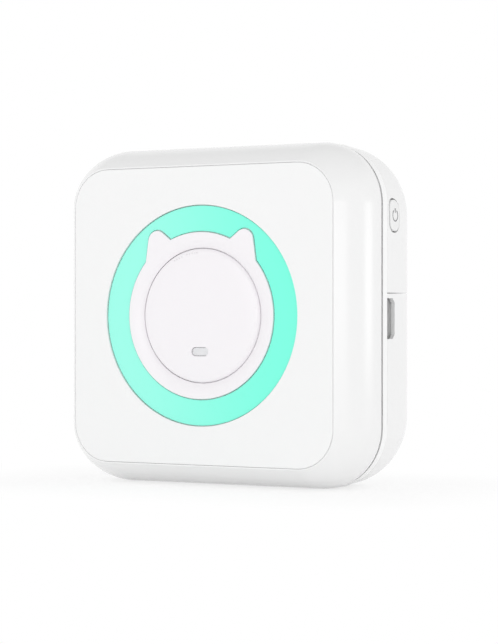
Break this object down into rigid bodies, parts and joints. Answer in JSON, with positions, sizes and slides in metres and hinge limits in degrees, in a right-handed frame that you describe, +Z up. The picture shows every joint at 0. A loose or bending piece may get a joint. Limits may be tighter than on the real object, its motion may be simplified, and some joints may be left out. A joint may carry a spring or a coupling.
{
  "type": "thermal label printer",
  "caption": "Square pocket label printer that stands on its edge, with a ring ornament on its face, a side push button and a hinged rear lid over a paper roll, rubber platen and thermal head.",
  "frame": {"origin": "middle of the footprint, on the surface that the printer stands on", "axes": "+X to the right of someone facing the printer, +Y to its back, +Z up"},
  "size_m": [0.0862, 0.036, 0.086],
  "materials": {
    "shell_plastic": "satin white moulded plastic",
    "panel_plastic": "smooth white moulded plastic",
    "mint_plastic": "smooth mint green plastic",
    "bezel_plastic": "satin white plastic",
    "strip_plastic": "satin white plastic",
    "light_window": "milky diffusing plastic",
    "circuit_board": "green solder mask",
    "lamp": "clear resin lamp",
    "steel": "bright steel",
    "motor_zinc": "zinc plated steel",
    "black_plastic": "black moulded plastic",
    "shield_metal": "tinned steel",
    "connector_plastic": "cream nylon",
    "gear_plastic": "natural acetal",
    "brass": "machined brass",
    "roller_rubber": "ground black silicone rubber",
    "aluminium": "plain aluminium plate",
    "head_ceramic": "glazed alumina",
    "ribbon_film": "polyimide film",
    "lead_sheath": "black vinyl sheath",
    "cell_foil": "blue film over a foil cell",
    "foam_tape": "black foam tape",
    "label_paper": "white coated paper",
    "core_board": "brown card"
  },
  "bodies": {
    "housing": {"front_shell": "shell_plastic", "rear_shell": "shell_plastic", "front_panel": "panel_plastic", "accent_ring": "mint_plastic", "ear_bezel": "bezel_plastic", "centre_cap": "bezel_plastic", "mid_frame": "strip_plastic", "status_window": "light_window", "main_board": "circuit_board", "led_board": "circuit_board", "status_led": "lamp", "lid_hinge_pin": "steel", "head_pivot_pin": "steel", "head_springs": "steel", "gear_stud": "steel", "gear_clip": "steel", "case_screws": "steel", "rear_shell_screws": "steel", "board_screws": "steel", "mechanism_screws": "steel", "motor_screws": "steel", "tear_bar": "steel", "charging_socket": "steel", "mechanism_frame": "steel", "motor_can": "motor_zinc", "motor_flange_plate": "motor_zinc", "controller_chip": "black_plastic", "board_capacitors": "black_plastic", "tact_switch": "black_plastic", "paper_sensor": "black_plastic", "radio_module": "shield_metal", "board_connectors": "connector_plastic", "head_ribbon": "ribbon_film", "battery_lead": "lead_sheath", "motor_lead": "lead_sheath", "battery_pack": "cell_foil", "battery_tape": "foam_tape"},
    "lid": {"paper_lid": "shell_plastic", "platen_bushings": "gear_plastic"},
    "platen": {"platen_shaft": "steel", "platen_sleeve": "roller_rubber", "platen_gear": "gear_plastic"},
    "print_head": {"head_heatsink": "aluminium", "head_substrate": "head_ceramic", "head_cover": "black_plastic"},
    "motor_rotor": {"motor_shaft": "steel", "motor_pinion": "brass"},
    "reduction": {"reduction_gear": "gear_plastic"},
    "button": {"power_button": "bezel_plastic", "switch_plunger": "connector_plastic"},
    "roll": {"paper_roll": "label_paper", "roll_core": "core_board"}
  },
  "joints": [
    {"name": "lid_hinge", "type": "hinge", "parent": "housing", "child": "lid", "pos_m": [0, 0.0027, 0.0023], "axis": [-1, 0, 0], "range_deg": [0, 90]},
    {"name": "platen_spin", "type": "hinge", "parent": "lid", "child": "platen", "pos_m": [0, 0.0095, 0.0404], "axis": [1, 0, 0], "continuous": true},
    {"name": "reduction_spin", "type": "hinge", "parent": "housing", "child": "reduction", "pos_m": [0, 0.00151, 0.04331], "axis": [1, 0, 0], "continuous": true},
    {"name": "motor_spin", "type": "hinge", "parent": "housing", "child": "motor_rotor", "pos_m": [0, -0.00392, 0.05783], "axis": [1, 0, 0], "continuous": true},
    {"name": "head_tilt", "type": "hinge", "parent": "housing", "child": "print_head", "pos_m": [0, -0.0047, 0.04481], "axis": [1, 0, 0], "range_deg": [0, 3], "stiffness_Nm_per_rad": 0.4, "springref_deg": -2.01, "deforming": ["head_springs"]},
    {"name": "button_press", "type": "slide", "parent": "housing", "child": "button", "axis": [-1, 0, 0], "range_m": [0, 0.0004], "stiffness_N_per_m": 1500},
    {"name": "roll_spin", "type": "hinge", "parent": "housing", "child": "roll", "pos_m": [0, 0.0016, 0.0188], "axis": [1, 0, 0], "continuous": true}
  ],
  "couplings": [
    {"joint": "reduction_spin", "follows": "platen_spin", "ratio": -1.4286},
    {"joint": "motor_spin", "follows": "platen_spin", "ratio": 4.898}
  ]
}
